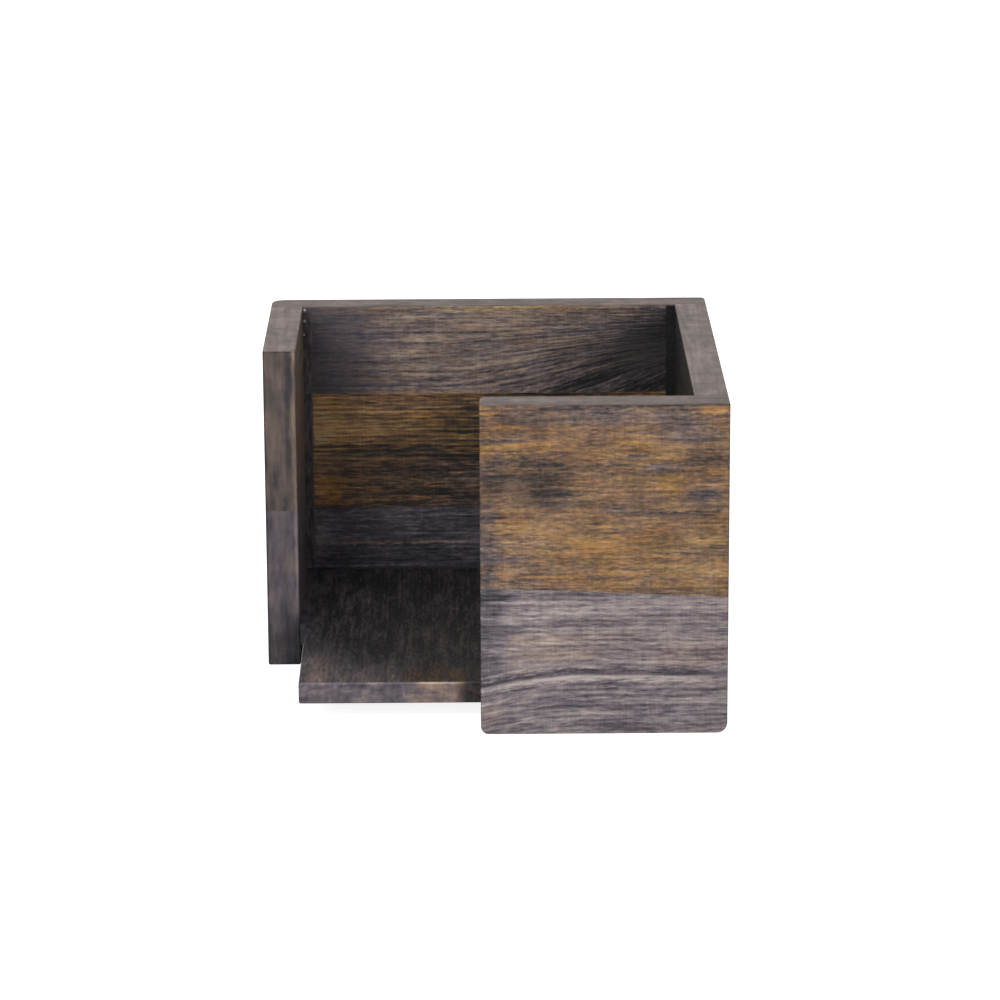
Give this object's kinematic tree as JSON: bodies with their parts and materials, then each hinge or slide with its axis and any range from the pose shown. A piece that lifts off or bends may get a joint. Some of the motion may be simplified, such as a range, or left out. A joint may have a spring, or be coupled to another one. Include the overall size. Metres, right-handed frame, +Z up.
{
  "type": "napkin holder",
  "caption": "Open-topped square wooden napkin box on a raised base board, with one front corner left open so that the fingers reach the stack.",
  "frame": {"origin": "centre of the box's footprint, on the surface that it stands on", "axes": "+X to the right seen from the front, +Y from the front board to the back board, +Z up through the open top"},
  "size_m": [0.2, 0.2, 0.145],
  "materials": {
    "dark_stained_top": "dark stained and sanded back, satin",
    "amber_stained_middle": "amber and black stained, sanded back, satin",
    "slate_stained_low": "slate grey stained, sanded back, satin",
    "front_upper": "amber brown stained with dark smudges, sanded back, satin",
    "front_lower": "grey mauve stained, sanded back, satin",
    "side_wall": "dark grey brown stained, sanded back, satin",
    "base_stain": "near black stained, worn grey brown at its front edge, satin",
    "dowel_wood": "raw"
  },
  "bodies": {
    "root": {"back_board_bottom_stave": "slate_stained_low", "back_board_lower_stave": "amber_stained_middle", "back_board_upper_stave": "amber_stained_middle", "back_board_top_stave": "dark_stained_top", "left_wall_lower_stave": "side_wall", "left_wall_upper_stave": "side_wall", "right_wall_lower_stave": "side_wall", "right_wall_middle_stave": "side_wall", "right_wall_upper_stave": "side_wall", "front_board_lower_stave": "front_lower", "front_board_upper_stave": "front_upper", "base_left_stave": "base_stain", "base_inner_left_stave": "base_stain", "base_inner_right_stave": "base_stain", "base_right_stave": "base_stain", "back_left_dowels": "dowel_wood", "back_right_dowels": "dowel_wood", "front_right_dowels": "dowel_wood", "base_left_dowels": "dowel_wood", "base_right_dowels": "dowel_wood", "base_back_dowels": "dowel_wood", "base_front_dowels": "dowel_wood"}
  },
  "joints": []
}
